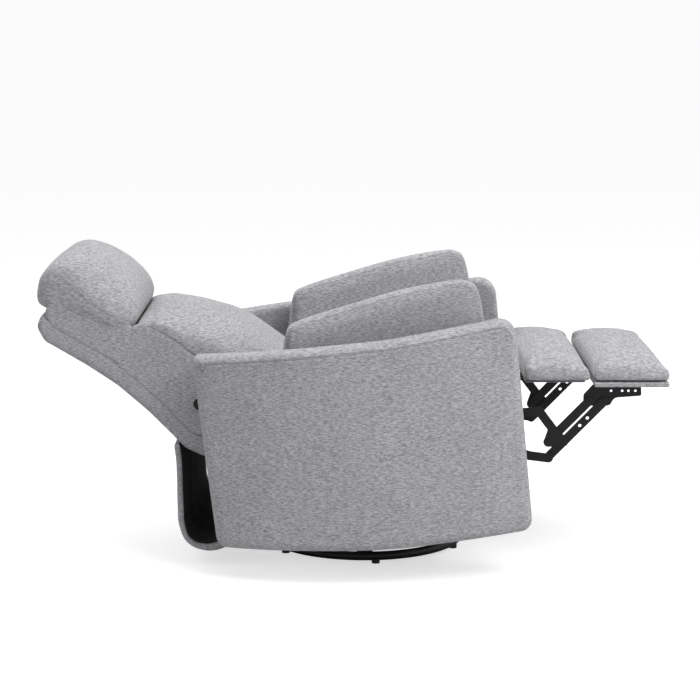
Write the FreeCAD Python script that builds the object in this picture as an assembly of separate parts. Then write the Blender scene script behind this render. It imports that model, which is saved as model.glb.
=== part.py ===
import FreeCAD, Part
import math
import os
from FreeCAD import Vector

os.makedirs("parts", exist_ok=True)

# Swivel glider recliner, in millimetres. Origin on the floor under the swivel axis, +Z up.
# The chair faces -Y. It is drawn reclined with its footrest out, which is its rest pose.
# "left" is the sitter's left, +X. Left pieces are drawn and right ones mirrored.

# Clearances
fit = 0.05                # radial running clearance of a pin in a moving plate
seat_gap = 0.3            # gap between a piece and what it is seated on
soft_gap = 2.0            # gap between soft pieces that pass each other

# Base
ring_outer_r = 255.0      # floor ring, outside radius
ring_tube_r = 11.0
foot_height = 6.5
foot_r = 10.0
foot_count = 6
foot_turn = 6.4           # angle of the first foot from the -X axis, degrees
bar_width = 40.0          # cross bars of the base
bar_thickness = 10.0
disc_r = 105.0            # swivel plates
disc_t = 4.0
ball_r = 5.0
ball_track_r = 80.0
ball_count = 24
kingpin_r = 10.0

# Glider
upright_x = 140.0         # inner face of the uprights that the links hang from
glide_y = 130.0           # front and rear link pivots, each side of the swivel axis
link_length = 105.0
link_top_z = 168.0
link_half_width = 13.0
glide_pin_r = 6.0
strap_t = 4.0             # steel of the glider links and uprights
strap_gap = 1.2           # side gap between neighbouring plates
link_gap = 5.0            # gap from an upright to its link, for the low pin's head

# Outer tub: plan shape of the two arm panels
tub_half_width = 460.0
tub_widest_y = 30.0
tub_rear_half = 372.0     # outside half width at tub_rear_y
tub_rear_y = 400.0
tub_front_half = 384.0    # outside half width at tub_front_y
tub_front_y = -400.0
tub_thickness = 75.0
tub_round_out = 18.0      # rounding of the padded outer edges
tub_round_in = 12.0
tub_corner = 30.0         # corners of the panel seen from the side

# Arm panel seen from the side, corners as (y, z)
arm_front_bottom = (-402.0, 116.0)
arm_front_top = (-352.0, 623.0)
arm_rear_top = (412.0, 531.0)
arm_rear_bottom = (353.0, 76.0)
arm_belly = (-60.0, 85.0)       # the lower edge hangs in a slight belly
arm_belly_r = 1500.0

# Carriage: glide rails, cross bars and side plates
rail_z = 46.0
rail_h = 30.0
rail_front = -215.0
rail_rear = 325.0
cross_w = 34.0
cross_t = 6.0
side_plate_x = 259.0      # inner face
side_plate_t = 4.0
mount_block = 44.0        # wooden blocks that hold the arm panels
mount_z = 150.0

# Mechanism side plates: four layers from inside to outside
plate_t = 3.0
layer_pitch = plate_t + strap_gap
bracket_x = 236.0                       # footrest bracket, innermost
bar_x = bracket_x + layer_pitch         # the two long parallel links
crank_x = bar_x + layer_pitch           # bent crank
seat_plate_x = crank_x + layer_pitch    # side plate of the seat
rear_crank_x = seat_plate_x + layer_pitch

# Pivots of the footrest linkage, (y, z), footrest out
mid_hinge = (-368.0, 470.0)             # hinge of the middle pad at the seat front
lower_front = (-582.0, 405.0)           # lower link at the footrest bracket
lower_mid = (-484.0, 304.0)             # lower link at the bent crank
lower_rear = (-447.0, 266.0)            # lower link at the rear crank
pivot_pitch = (38.0, -0.7)              # from a lower link pivot to the upper link's
crank_elbow = (-424.0, 380.0)
crank_shoulder = (-457.0, 336.0)
link_r = 11.0                           # half width of the links
rivet_r = 4.0
rivet_head_r = 7.5
rivet_head_t = 1.6

# Seat
seat_pivot = (-120.0, 300.0)
seat_pin_r = 7.0
cushion_half = 264.0
core_half = 243.0
cushion_front_y = -356.0
cushion_rear_y = 110.0
cushion_front_top = 487.0
cushion_rear_top = 420.0
cushion_front_depth = 21.5
cushion_rear_depth = 35.0
front_rail_y = -338.0     # front face of the wooden front rail
front_rail_w = 20.0
front_rail_top = 458.0
front_rail_under = 400.0
rear_rail_w = 22.0
hinge_knuckle_r = 6.0

# Inner arm pads
pad_inner_x = 268.0
pad_thickness = 66.0

# Back
back_hinge = (225.0, 385.0)
hinge_pin_r = 8.0
back_half = 252.0         # half width below the arm tops
head_half = 266.0         # half width of the headrest
back_plate_x = 254.4      # inner face of the back hinge plates
board_spacer = 4.1        # from a side board of the back to its hinge plate
side_board_t = 18.0
shell_thickness = 42.0
roll_r = 92.0             # roll at the foot of the lumbar cushion, round the back hinge

# Footrest and middle pads
pad_half = 286.0
foot_pad_rear = -549.0
foot_pad_front = -735.0
mid_pad_rear = -380.0
mid_pad_front = -543.0
pad_top_z = 490.0
pad_under_z = 458.0
board_t = 12.0
board_half = 262.0
board_margin = 8.0

# Rear cloth flap
flap_half = 250.0
flap_t = 12.0             # padded cloth


def add(a, b):
    return (a[0] + b[0], a[1] + b[1])


def sub(a, b):
    return (a[0] - b[0], a[1] - b[1])


def on_line(a, b, y):
    """Point at y on the line from a to b."""
    return (y, a[1] + (b[1] - a[1]) * (y - a[0]) / (b[0] - a[0]))


# Pivots that follow from the ones above: the linkage is a chain of exact parallelograms
upper_front = add(lower_front, pivot_pitch)
upper_rear = add(lower_mid, pivot_pitch)
crank_pivot = sub(mid_hinge, sub(lower_front, lower_mid))
rear_crank_pivot = add(crank_pivot, sub(lower_rear, lower_mid))


def yz_wire(corners, x):
    """Closed outline in the plane at x. Each corner is (y, z, radius)."""
    edges = []
    n = len(corners)
    marks = []
    for i in range(n):
        p = Vector(x, corners[i][0], corners[i][1])
        a = Vector(x, corners[i - 1][0], corners[i - 1][1])
        b = Vector(x, corners[(i + 1) % n][0], corners[(i + 1) % n][1])
        r = corners[i][2]
        u = (a - p).normalize()
        w = (b - p).normalize()
        if r <= 0:
            marks.append((p, None, p))
            continue
        half = u.getAngle(w) / 2
        reach = r / math.tan(half)
        bisector = (u + w).normalize()
        centre = p + bisector * (r / math.sin(half))
        middle = centre - bisector * r
        marks.append((p + u * reach, middle, p + w * reach))
    for i in range(n):
        start, middle, end = marks[i]
        if middle is not None:
            edges.append(Part.Arc(start, middle, end).toShape())
        follow = marks[(i + 1) % n][0]
        if end.distanceToPoint(follow) > 1e-6:
            edges.append(Part.LineSegment(end, follow).toShape())
    return Part.Wire(edges)


def slab(corners, x0, x1):
    """Outline in the side view, extruded from x0 to x1."""
    return Part.Face(yz_wire(corners, x0)).extrude(Vector(x1 - x0, 0, 0))


def inset(corners, depth):
    """The outline moved inwards by depth, corner radii reduced with it."""
    n = len(corners)
    area = sum(corners[i - 1][0] * corners[i][1] - corners[i][0] * corners[i - 1][1] for i in range(n))
    side = 1.0 if area > 0 else -1.0
    moved = []
    for i in range(n):
        y, z, r = corners[i]
        y0, z0, _ = corners[i - 1]
        y1, z1, _ = corners[(i + 1) % n]
        a = Vector(y - y0, z - z0, 0).normalize()
        b = Vector(y1 - y, z1 - z, 0).normalize()
        na = Vector(-a.y, a.x, 0) * side
        nb = Vector(-b.y, b.x, 0) * side
        m = (na + nb).normalize()
        k = depth / max(m.dot(na), 0.3)
        moved.append((y + m.x * k, z + m.y * k, max(r - depth, 3.0)))
    return moved


def crowned(corners, rise, top):
    """The outline raised by rise where it faces the direction top."""
    raised = []
    for corner, out in zip(corners, inset(corners, -rise)):
        lift = max((out[0] - corner[0]) * top[0] + (out[1] - corner[1]) * top[1], 0.0)
        raised.append((corner[0] + top[0] * lift, corner[1] + top[1] * lift, corner[2]))
    return raised


def cushion(corners, half, edge, crown, top=(0.0, 1.0), centre_x=0.0):
    """Stuffed pad: the side outline with rounded sides, and a crown across X on its top."""
    sections = []
    for angle in (0.0, 30.0, 60.0, 90.0):
        a = math.radians(angle)
        sections.append((half - edge * (1 - math.cos(a)), inset(corners, edge * (1 - math.sin(a)))))
    sections.append((half * 0.5, crowned(corners, crown * 0.75, top)))
    sections.append((0.0, crowned(corners, crown, top)))
    sections += [(-x, outline) for x, outline in reversed(sections[:-1])]
    wires = [yz_wire(outline, centre_x + x) for x, outline in sections]
    return Part.makeLoft(wires, True, True)


def cyl_x(centre, r, x0, x1):
    return Part.makeCylinder(r, x1 - x0, Vector(x0, centre[0], centre[1]), Vector(1, 0, 0))


def cyl_z(x, y, r, z0, z1):
    return Part.makeCylinder(r, z1 - z0, Vector(x, y, z0))


def box(x0, x1, y0, y1, z0, z1):
    return Part.makeBox(x1 - x0, y1 - y0, z1 - z0, Vector(x0, y0, z0))


def capsule(a, b, r, x, t):
    along = Vector(0, b[0] - a[0], b[1] - a[1]).normalize()
    across = Vector(0, -along.z, along.y) * r
    pa = Vector(x, a[0], a[1])
    pb = Vector(x, b[0], b[1])
    edges = [
        Part.LineSegment(pa + across, pb + across).toShape(),
        Part.Arc(pb + across, pb + along * r, pb - across).toShape(),
        Part.LineSegment(pb - across, pa - across).toShape(),
        Part.Arc(pa - across, pa - along * r, pa + across).toShape(),
    ]
    return Part.Face(Part.Wire(edges)).extrude(Vector(t, 0, 0))


def strap(path, r, x, t, holes=(), hole_r=0.0):
    """Flat steel bar with round ends along a path, with its rivet holes."""
    body = capsule(path[0], path[1], r, x, t)
    for a, b in zip(path[1:], path[2:]):
        body = body.fuse(capsule(a, b, r, x, t))
    body = body.removeSplitter()
    for hole in holes:
        body = body.cut(cyl_x(hole, hole_r, x - 1, x + t + 1))
    return body


def rivet(centre, r, x0, x1):
    """Rivet through the plates between x0 and x1, with a head on each side."""
    head_in = cyl_x(centre, r * 1.8, x0 - rivet_head_t - seat_gap, x0 - seat_gap)
    head_out = cyl_x(centre, r * 1.8, x1 + seat_gap, x1 + seat_gap + rivet_head_t)
    return cyl_x(centre, r, x0 - seat_gap, x1 + seat_gap).fuse([head_in, head_out]).removeSplitter()


def mirrored(shape):
    return shape.mirror(Vector(0, 0, 0), Vector(1, 0, 0))


def group(shapes):
    return Part.makeCompound([s for shape in shapes for s in shape.Solids])


def both_sides(shapes):
    return group(list(shapes) + [mirrored(s) for s in shapes])


def save(name, shape):
    for solid in shape.Solids:
        if not solid.isValid() or solid.Volume < 1:
            print("check", name, solid.isValid(), round(solid.Volume))
    if not shape.Solids:
        print("no solid in", name)
    shape.exportStep("parts/%s.step" % name)


def save_pair(name, shape):
    save(name + "_left", shape)
    save(name + "_right", mirrored(shape))


# Plan of the tub

def arc_radius(sag, run):
    return (sag * sag + run * run) / (2 * sag)


rear_radius = arc_radius(tub_half_width - tub_rear_half, tub_rear_y - tub_widest_y)
front_radius = arc_radius(tub_half_width - tub_front_half, tub_widest_y - tub_front_y)


def plan_point(radius, forward, run, depth, z):
    """Point on the tub's plan curve, run along Y from its widest place, depth inside the outside."""
    x = tub_half_width - radius + math.sqrt((radius - depth) ** 2 - run * run)
    return Vector(x, tub_widest_y + (-run if forward else run), z)


def plan_face(outside, inside, z):
    """Band of the plan between two depths, on the +X side, longer than the panels."""
    front_reach = tub_widest_y - arm_front_bottom[0] + 40.0
    rear_reach = arm_rear_top[0] - tub_widest_y + 30.0
    curves = []
    for depth in (outside, inside):
        front = plan_point(front_radius, True, front_reach, depth, z)
        front_mid = plan_point(front_radius, True, front_reach / 2, depth, z)
        middle = plan_point(front_radius, True, 0.0, depth, z)
        rear_mid = plan_point(rear_radius, False, rear_reach / 2, depth, z)
        rear = plan_point(rear_radius, False, rear_reach, depth, z)
        curves.append([front, front_mid, middle, rear_mid, rear])
    a, b = curves
    edges = [
        Part.Arc(a[0], a[1], a[2]).toShape(),
        Part.Arc(a[2], a[3], a[4]).toShape(),
        Part.LineSegment(a[4], b[4]).toShape(),
        Part.Arc(b[4], b[3], b[2]).toShape(),
        Part.Arc(b[2], b[1], b[0]).toShape(),
        Part.LineSegment(b[0], a[0]).toShape(),
    ]
    return Part.Face(Part.Wire(edges))


def arm_outline():
    corners = (arm_front_bottom, arm_front_top, arm_rear_top, arm_rear_bottom)
    return [*[(*corner, tub_corner) for corner in corners], (*arm_belly, arm_belly_r)]


def depth_in_tub(point):
    """How far a point lies inside the outside face of the tub."""
    radius = front_radius if point.y < tub_widest_y else rear_radius
    centre_x = tub_half_width - radius
    return radius - math.hypot(abs(point.x) - centre_x, point.y - tub_widest_y)


def rim_edges(panel, depth):
    """Edges where the rim of the panel meets its outer or inner face."""
    rims = []
    for edge in panel.Edges:
        middle = edge.valueAt((edge.FirstParameter + edge.LastParameter) / 2)
        if abs(depth_in_tub(middle) - depth) > 2.0:
            continue
        near = [f for f in panel.Faces if any(edge.isSame(e) for e in f.Edges)]
        normals = [f.normalAt(*f.Surface.parameter(middle)) for f in near]
        if len(near) == 2 and abs(normals[0].dot(normals[1])) < 0.93:
            rims.append(edge)
    return rims


def arm_panel():
    walls = plan_face(0.0, tub_thickness, 0.0).extrude(Vector(0, 0, arm_front_top[1] + 60))
    panel = walls.common(slab(arm_outline(), 100.0, tub_half_width + 60)).Solids[0]
    panel = panel.makeFillet(tub_round_in, rim_edges(panel, tub_thickness)).Solids[0]
    return panel.makeFillet(tub_round_out, rim_edges(panel, 0.0))


def arm_mounts():
    """Wooden blocks between the side plate and the arm panel, front and rear."""
    x0 = side_plate_x + side_plate_t + seat_gap
    tub = plan_face(0.0, tub_thickness + seat_gap, 0.0).extrude(Vector(0, 0, 2 * mount_z))
    blocks = []
    for y in (rail_front + cross_w / 2, rail_rear - cross_w / 2):
        half = mount_block / 2
        block = box(x0, tub_half_width, y - half, y + half, mount_z, mount_z + mount_block).cut(tub)
        blocks.append(min(block.Solids, key=lambda piece: piece.CenterOfMass.x))
    return group(blocks)


# Base

def base_ring():
    z = foot_height + ring_tube_r
    return Part.makeTorus(ring_outer_r - ring_tube_r, ring_tube_r, Vector(0, 0, z))


def base_feet():
    feet = []
    r = ring_outer_r - ring_tube_r
    for i in range(foot_count):
        angle = math.radians(180 + foot_turn + i * 360 / foot_count)
        foot = cyl_z(r * math.cos(angle), r * math.sin(angle), foot_r, 0, bar_z - seat_gap)
        feet.append(foot.cut(grown_ring()).Solids[0])
    return group(feet)


def grown_ring():
    z = foot_height + ring_tube_r
    ring = Part.makeTorus(ring_outer_r - ring_tube_r, ring_tube_r + seat_gap, Vector(0, 0, z))
    inner = ring_outer_r - ring_tube_r
    upper = cyl_z(0, 0, inner + 40, z, z + 60).cut(cyl_z(0, 0, inner - 40, z - 1, z + 61))
    return ring.fuse(upper)


bar_z = foot_height + ring_tube_r - bar_thickness / 2


def base_bars():
    """Two flat bars that cross under the swivel plate and end in the ring."""
    reach = ring_outer_r - ring_tube_r
    bars = [
        box(-reach, reach, -bar_width / 2, bar_width / 2, bar_z, bar_z + bar_thickness),
        box(-bar_width / 2, bar_width / 2, -reach, reach, bar_z, bar_z + bar_thickness),
    ]
    ring = Part.makeTorus(reach, ring_tube_r + seat_gap, Vector(0, 0, foot_height + ring_tube_r))
    inner = [s for s in bars[0].fuse(bars[1]).cut(ring).Solids]
    whole = max(inner, key=lambda s: s.Volume)
    return whole.cut(cyl_z(0, 0, kingpin_r + fit, 0, 60)).removeSplitter()


lower_disc_z = bar_z + bar_thickness + seat_gap
upper_disc_z = lower_disc_z + disc_t + 2 * ball_r + 2 * fit
frame_z = upper_disc_z + disc_t + seat_gap
frame_t = 6.0
frame_arm = 40.0          # width of the glider frame's long bars
frame_web = 120.0         # its middle plate along Y


def swivel_disc(z):
    disc = cyl_z(0, 0, disc_r, z, z + disc_t).cut(cyl_z(0, 0, kingpin_r + fit, z - 1, z + disc_t + 1))
    for i in range(4):
        angle = math.radians(45 + 90 * i)
        hole = cyl_z(60 * math.cos(angle), 60 * math.sin(angle), 4.5, z - 1, z + disc_t + 1)
        disc = disc.cut(hole)
    return disc


def ball_ring():
    balls = []
    z = lower_disc_z + disc_t + fit + ball_r
    for i in range(ball_count):
        angle = 2 * math.pi * i / ball_count
        place = Vector(ball_track_r * math.cos(angle), ball_track_r * math.sin(angle), z)
        balls.append(Part.makeSphere(ball_r, place))
    return group(balls)


def kingpin():
    head_z = frame_z + frame_t + seat_gap
    pin = cyl_z(0, 0, kingpin_r, foot_height, head_z)
    nut = cyl_z(0, 0, kingpin_r * 1.7, bar_z - 5, bar_z - seat_gap)
    head = cyl_z(0, 0, kingpin_r * 1.8, head_z, head_z + 7)
    return pin.fuse([nut, head]).removeSplitter()


# Glider

def glider_frame():
    """Flat H frame on the upper swivel plate."""
    outer = upright_x - seat_gap
    reach = glide_y + link_half_width + 6
    bar = box(outer - frame_arm, outer, -reach, reach, frame_z, frame_z + frame_t)
    web = box(-outer, outer, -frame_web / 2, frame_web / 2, frame_z, frame_z + frame_t)
    frame = web.fuse([bar, mirrored(bar)]).removeSplitter()
    return frame.cut(cyl_z(0, 0, kingpin_r + fit, 0, 90))


def upright(y):
    """Plate that a swing link hangs from, with a foot turned in over the frame."""
    half = link_half_width + 5
    outline = [
        (y - half, frame_z, 2.0),
        (y - half, link_top_z - 20, 8.0),
        (y - 12, link_top_z + 14, 8.0),
        (y + 12, link_top_z + 14, 8.0),
        (y + half, link_top_z - 20, 8.0),
        (y + half, frame_z, 2.0),
    ]
    plate = slab(outline, upright_x, upright_x + strap_t)
    top = frame_z + frame_t + seat_gap
    foot = box(upright_x - 30, upright_x + 1, y - half + 4, y + half - 4, top, top + strap_t)
    plate = plate.fuse(foot).removeSplitter()
    return plate.cut(cyl_x((y, link_top_z), glide_pin_r + fit, upright_x - 1, upright_x + strap_t + 1))


link_x = upright_x + strap_t + link_gap
glide_rail_x = link_x + strap_t + strap_gap


def swing_link(y):
    ends = [(y, link_top_z), (y, link_top_z - link_length)]
    return strap(ends, link_half_width, link_x, strap_t, ends, glide_pin_r + fit)


def glide_pin(centre, x0, x1, gap):
    """Pin through two plates from x0 to x1 that are gap apart, with a collar where there is room."""
    head_r = glide_pin_r * 1.4
    parts = [
        cyl_x(centre, head_r, x0 - 3.5, x0 - seat_gap),
        cyl_x(centre, head_r, x1 + seat_gap, x1 + 3.5),
    ]
    if gap > strap_gap:
        parts.append(cyl_x(centre, head_r, x0 + strap_t + seat_gap, x1 - strap_t - seat_gap))
    return cyl_x(centre, glide_pin_r, x0 - 3, x1 + 3).fuse(parts).removeSplitter()


def glide_rail():
    """Angle iron that the lower ends of the links carry, with cross bars on its top."""
    outline = [
        (rail_front, rail_z, 4.0),
        (rail_front, rail_z + rail_h, 4.0),
        (rail_rear, rail_z + rail_h, 4.0),
        (rail_rear, rail_z, 4.0),
    ]
    rail = slab(outline, glide_rail_x, glide_rail_x + strap_t)
    top = rail_z + rail_h
    flange = box(glide_rail_x, glide_rail_x + 30, rail_front + 5, rail_rear - 5, top - strap_t, top)
    rail = rail.fuse(flange).removeSplitter()
    for y in (-glide_y, glide_y):
        pivot = (y, link_top_z - link_length)
        rail = rail.cut(cyl_x(pivot, glide_pin_r + fit, glide_rail_x - 1, glide_rail_x + strap_t + 1))
    return rail


# Carriage

cross_z = rail_z + rail_h + seat_gap
side_plate_z = cross_z + cross_t + seat_gap


def cross_bar(y):
    reach = side_plate_x + side_plate_t + 12
    return box(-reach, reach, y - cross_w / 2, y + cross_w / 2, cross_z, cross_z + cross_t)


def side_plate():
    """Steel side plate of the carriage: front foot, seat pivot, rear foot and back hinge."""
    hy, hz = back_hinge
    sy, sz = seat_pivot
    outline = [
        (rail_front, side_plate_z, 2.0),
        (rail_front + cross_w + 10, side_plate_z, 2.0),
        (rail_front + cross_w + 40, side_plate_z + 50, 30.0),
        (rail_rear - cross_w - 40, side_plate_z + 50, 30.0),
        (rail_rear - cross_w - 10, side_plate_z, 2.0),
        (rail_rear, side_plate_z, 2.0),
        (rail_rear, side_plate_z + 110, 20.0),
        (hy + 30, hz - 20, 20.0),
        (hy + 24, hz + 22, 20.0),
        (hy - 26, hz + 22, 20.0),
        (hy - 44, sz + 30, 30.0),
        (sy - 26, sz + 26, 20.0),
        (sy - 30, sz - 40, 30.0),
        (rail_front, side_plate_z + 90, 20.0),
    ]
    plate = slab(outline, side_plate_x, side_plate_x + side_plate_t)
    windows = [
        [(-70.0, 180.0, 20.0), (20.0, 180.0, 20.0), (20.0, 285.0, 20.0), (-70.0, 285.0, 20.0)],
        [(60.0, 180.0, 20.0), (190.0, 180.0, 20.0), (160.0, 285.0, 20.0), (60.0, 285.0, 20.0)],
    ]
    for window in windows:
        plate = plate.cut(slab(window, side_plate_x - 1, side_plate_x + side_plate_t + 1))
    plate = plate.cut(cyl_x(back_hinge, hinge_pin_r + fit, side_plate_x - 1, side_plate_x + 9))
    return plate.cut(cyl_x(seat_pivot, seat_pin_r + fit, side_plate_x - 1, side_plate_x + 9))


def stepped_pin(centre, r, x0, x1, collar0, collar1):
    """Pin from x0 to x1 with a head outside and a spacing collar between two plates."""
    pin = cyl_x(centre, r, x0, x1)
    head = cyl_x(centre, r * 1.7, x1, x1 + 3)
    collar = cyl_x(centre, r * 1.5, collar0, collar1)
    return pin.fuse([head, collar]).removeSplitter()


def seat_pivot_pin():
    outer = side_plate_x + side_plate_t
    inner = seat_plate_x + plate_t
    return stepped_pin(seat_pivot, seat_pin_r, seat_plate_x - 1, outer + seat_gap, inner + seat_gap,
                       side_plate_x - seat_gap)


def back_hinge_pin():
    outer = side_plate_x + side_plate_t
    inner = back_plate_x + plate_t
    return stepped_pin(back_hinge, hinge_pin_r, back_plate_x - 1, outer + seat_gap, inner + seat_gap,
                       side_plate_x - seat_gap)


# Seat

def seat_plate():
    cy, cz = crank_pivot
    ry, rz = rear_crank_pivot
    sy, sz = seat_pivot
    front_y = front_rail_y + 2
    top = front_rail_top - 3
    outline = [
        (front_y, top, 6.0),
        (front_y, front_rail_under, 10.0),
        (cy - 26, cz - 6, 12.0),
        (cy - 10, cz - 22, 10.0),
        (ry - 16, rz - 16, 14.0),
        (ry + 20, rz - 18, 14.0),
        (sy - 16, sz - 18, 14.0),
        (sy + 16, sz - 18, 14.0),
        (cushion_rear_y - 4, 300.0, 8.0),
        (cushion_rear_y - 4, 330.0, 8.0),
        (cy + 30, cz + 16, 20.0),
        (front_y + 22, top - 3, 8.0),
    ]
    plate = slab(outline, seat_plate_x, seat_plate_x + plate_t)
    x0 = seat_plate_x - 1
    x1 = seat_plate_x + plate_t + 1
    for centre, r in ((crank_pivot, rivet_r), (rear_crank_pivot, rivet_r), (seat_pivot, seat_pin_r)):
        plate = plate.cut(cyl_x(centre, r + fit, x0, x1))
    for y in (-60.0, 0.0, 60.0):
        plate = plate.cut(cyl_x((y, 322.0), 9.0, x0, x1))
    return plate


def seat_front_rail():
    half = seat_plate_x - seat_gap
    return box(-half, half, front_rail_y, front_rail_y + front_rail_w, front_rail_under, front_rail_top)


def seat_rear_rail():
    half = seat_plate_x - seat_gap
    y = cushion_rear_y - 6
    return box(-half, half, y - rear_rail_w, y, 302.0, 326.0)


def seat_line(y, drop):
    """Height of a line parallel to the seat top, at y."""
    share = (y - cushion_front_y) / (cushion_rear_y - cushion_front_y)
    return cushion_front_top + share * (cushion_rear_top - cushion_front_top) - drop


web_drop = 92.0
webbing_t = 2.0


def seat_webbing():
    """Elastic bands from the front rail to the rear rail, with three across."""
    y0 = front_rail_y + front_rail_w + seat_gap
    y1 = cushion_rear_y - 6
    bands = []
    for i in range(5):
        x = -180.0 + 90.0 * i
        outline = [
            (y0, seat_line(y0, web_drop), 0.0),
            (y1, seat_line(y1, web_drop), 0.0),
            (y1, seat_line(y1, web_drop + webbing_t), 0.0),
            (y0, seat_line(y0, web_drop + webbing_t), 0.0),
        ]
        bands.append(slab(outline, x - 25, x + 25))
    half = seat_plate_x - seat_gap
    for i in range(3):
        y = -240.0 + 120.0 * i
        low = web_drop + webbing_t + seat_gap
        outline = [
            (y, seat_line(y, low), 0.0),
            (y + 50, seat_line(y + 50, low), 0.0),
            (y + 50, seat_line(y + 50, low + webbing_t), 0.0),
            (y, seat_line(y, low + webbing_t), 0.0),
        ]
        bands.append(slab(outline, -half, half))
    return group(bands)


def cushion_under(y):
    """Height of the seat cushion's underside at y."""
    share = (y - cushion_front_y) / (cushion_rear_y - cushion_front_y)
    return seat_line(y, cushion_front_depth + share * (cushion_rear_depth - cushion_front_depth))


def seat_core():
    """Foam block between the side plates, under the cushion's cover."""
    y0 = front_rail_y + front_rail_w + soft_gap
    y1 = cushion_rear_y - 4
    outline = [
        (y0, cushion_under(y0) - seat_gap, 4.0),
        (y0, seat_line(y0, web_drop - seat_gap), 4.0),
        (y1, seat_line(y1, web_drop - seat_gap), 4.0),
        (y1, cushion_under(y1) - seat_gap, 4.0),
    ]
    return slab(outline, -core_half, core_half)


def seat_cushion():
    y0 = cushion_front_y
    y1 = cushion_rear_y
    outline = [
        (y0, seat_line(y0, 0), 9.0),
        (y0, cushion_under(y0), 9.0),
        (y1, cushion_under(y1), 12.0),
        (y1, seat_line(y1, 3), 12.0),
        (-120.0, seat_line(-120.0, -9), 300.0),
    ]
    return cushion(outline, cushion_half, 6.0, 5.0)


pad_front_foot = (-292.0, 394.0)
pad_rear_foot = (204.0, 352.0)


def arm_pad():
    outline = [
        (*pad_front_foot, 14.0),
        (-283.0, 622.0, 60.0),
        (-266.0, 700.0, 26.0),
        (-232.0, 711.0, 40.0),
        (-83.0, 684.0, 200.0),
        (36.0, 647.0, 200.0),
        (132.0, 618.0, 60.0),
        (188.0, 600.0, 22.0),
        (204.0, 440.0, 60.0),
        (*pad_rear_foot, 14.0),
    ]
    return cushion(outline, pad_thickness / 2, 7.0, 3.0, centre_x=pad_inner_x + pad_thickness / 2)


def arm_pad_brackets():
    """Steel angles from the seat plate out under the arm pad, front and rear."""
    bars = []
    x0 = seat_plate_x + plate_t + seat_gap
    x1 = pad_inner_x + pad_thickness - 12
    for y in (-250.0, 70.0):
        ends = [(y, on_line(pad_front_foot, pad_rear_foot, y)[1] - seat_gap)]
        ends.append((y + 30, on_line(pad_front_foot, pad_rear_foot, y + 30)[1] - seat_gap))
        (ya, za), (yb, zb) = ends
        flange = [(ya, za, 0.0), (ya, za - plate_t, 0.0), (yb, zb - plate_t, 0.0), (yb, zb, 0.0)]
        web = [(ya, za, 0.0), (ya, za - 22, 3.0), (yb, zb - 22, 3.0), (yb, zb, 0.0)]
        bars.append(slab(web, x0, x0 + plate_t).fuse(slab(flange, x0, x1)).removeSplitter())
    return group(bars)


# Footrest linkage

def bent_crank():
    parts = [
        capsule(crank_pivot, crank_elbow, link_r, crank_x, plate_t),
        capsule(crank_elbow, crank_shoulder, link_r, crank_x, plate_t),
        capsule(crank_shoulder, lower_mid, link_r, crank_x, plate_t),
        capsule(crank_shoulder, upper_rear, link_r, crank_x, plate_t),
        capsule(upper_rear, lower_mid, link_r, crank_x, plate_t),
    ]
    body = parts[0].fuse(parts[1:]).removeSplitter()
    for hole in (crank_pivot, lower_mid, upper_rear):
        body = body.cut(cyl_x(hole, rivet_r + fit, crank_x - 1, crank_x + plate_t + 1))
    return body


def lower_link():
    spare = [on_line(lower_front, lower_mid, -541.0), on_line(lower_front, lower_mid, -523.0)]
    holes = [lower_front, lower_mid, lower_rear] + spare
    return strap([lower_front, lower_mid, lower_rear], link_r, bar_x, plate_t, holes, rivet_r + fit)


def upper_link():
    return strap([upper_front, upper_rear], link_r, bar_x, plate_t, [upper_front, upper_rear], rivet_r + fit)


def rear_crank():
    bend = (-400.0, 272.0)
    path = [rear_crank_pivot, bend, lower_rear]
    return strap(path, link_r, rear_crank_x, plate_t, [rear_crank_pivot, lower_rear], rivet_r + fit)


foot_board_z = pad_under_z - board_t - seat_gap


def footrest_bracket():
    uy, uz = upper_front
    sy, sz = lower_front
    top = foot_board_z - seat_gap
    outline = [
        (sy - 88, top, 3.0),
        (sy - 90, top - 28, 5.0),
        (sy - 24, top - 33, 16.0),
        (sy - 13, sz - 12, 10.0),
        (uy + 13, uz - 12, 10.0),
        (uy + 13, uz + 16, 10.0),
        (uy - 10, top, 3.0),
    ]
    plate = slab(outline, bracket_x, bracket_x + plate_t)
    flange = box(bracket_x - 34, bracket_x + 1, sy - 86, uy - 14, top - plate_t, top)
    plate = plate.fuse(flange).removeSplitter()
    for hole in (upper_front, lower_front):
        plate = plate.cut(cyl_x(hole, rivet_r + fit, bracket_x - 1, bracket_x + plate_t + 1))
    for y in (-16.0, -43.0, -58.0, -75.0):
        plate = plate.cut(cyl_x((sy + y, top - 16), 3.2, bracket_x - 1, bracket_x + plate_t + 1))
    return plate


def pad_board(front, rear):
    """Board under a footrest pad that runs from front to rear."""
    y0 = front + board_margin
    y1 = rear - board_margin
    return box(-board_half, board_half, y0, y1, foot_board_z, foot_board_z + board_t)


def foot_pad():
    outline = [
        (foot_pad_rear, pad_under_z, 9.0),
        (foot_pad_rear, pad_top_z, 12.0),
        ((foot_pad_rear + foot_pad_front) / 2, pad_top_z + 6, 400.0),
        (foot_pad_front, pad_top_z - 5, 13.0),
        (foot_pad_front, pad_under_z, 9.0),
    ]
    return cushion(outline, pad_half, 7.0, 3.0)


def mid_pad():
    outline = [
        (mid_pad_rear, pad_under_z, 6.0),
        (mid_pad_rear, pad_top_z - 1, 9.0),
        ((mid_pad_rear + mid_pad_front) / 2, pad_top_z + 5, 400.0),
        (mid_pad_front, pad_top_z, 10.0),
        (mid_pad_front, pad_under_z, 6.0),
    ]
    return cushion(outline, pad_half, 7.0, 3.0)


hinge_x = 150.0           # inner end of the middle pad's hinge knuckles
hinge_w = 18.0
leaf_top = 462.0          # top of the front hinge leaf, under the seat cushion


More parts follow.
